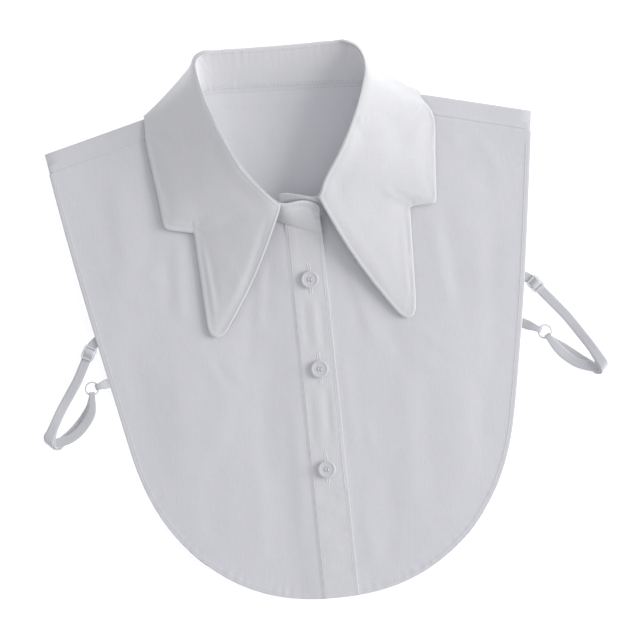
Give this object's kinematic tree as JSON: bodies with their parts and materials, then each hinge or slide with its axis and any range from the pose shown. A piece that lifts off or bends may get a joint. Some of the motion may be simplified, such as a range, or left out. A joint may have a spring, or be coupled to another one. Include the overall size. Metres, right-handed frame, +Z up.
{
  "type": "detachable shirt collar",
  "caption": "Detachable shirt collar laid flat: stepped leaf with long points on a stand, buttoned front panels, back panel and elastic side straps.",
  "frame": {"origin": "on the table, at the middle of the laid-out garment's length and width", "axes": "+Z up from the table; +Y towards the top of the collar; +X to the right of someone who looks at the front"},
  "size_m": [0.3987, 0.3912, 0.0312],
  "materials": {
    "cotton": "white plain-weave cotton, matt, lightly creased",
    "elastic": "white ribbed elastic webbing",
    "plastic": "white polished plastic"
  },
  "bodies": {
    "root": {"back_panel": "cotton", "front_right": "cotton", "front_left": "cotton", "placket": "cotton", "collar_stand": "cotton", "collar_leaf": "cotton", "neck_facing": "cotton", "button_1": "plastic", "button_2": "plastic", "button_3": "plastic", "strap_left": "elastic", "strap_tab_left": "elastic", "ring_left": "plastic", "slider_left": "plastic", "strap_right": "elastic", "strap_tab_right": "elastic", "ring_right": "plastic", "slider_right": "plastic"}
  },
  "joints": []
}
